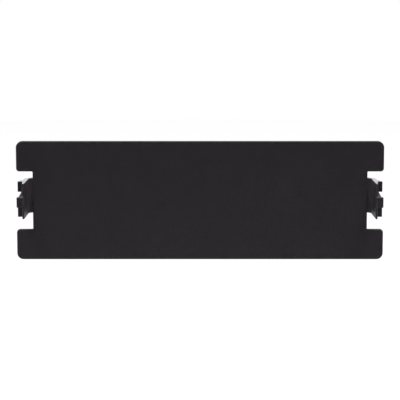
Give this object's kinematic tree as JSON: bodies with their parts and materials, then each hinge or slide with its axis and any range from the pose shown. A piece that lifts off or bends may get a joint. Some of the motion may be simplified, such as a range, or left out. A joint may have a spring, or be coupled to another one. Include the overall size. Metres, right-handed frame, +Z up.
{
  "type": "fiber panel blank plate",
  "caption": "Flat black plastic plate with a notch and a U-shaped snap latch at each end; it snaps into a fibre panel's opening to close an unused position.",
  "frame": {"origin": "centre of the plate's flat rear face, which seats on the panel", "axes": "+X along the plate, +Y out of the rear face and into the panel, +Z up as fitted"},
  "size_m": [0.117, 0.0211, 0.038],
  "materials": {
    "black_plastic": "charcoal black moulding with a fine matte texture"
  },
  "bodies": {
    "root": {"blank_plate": "black_plastic"}
  },
  "joints": []
}
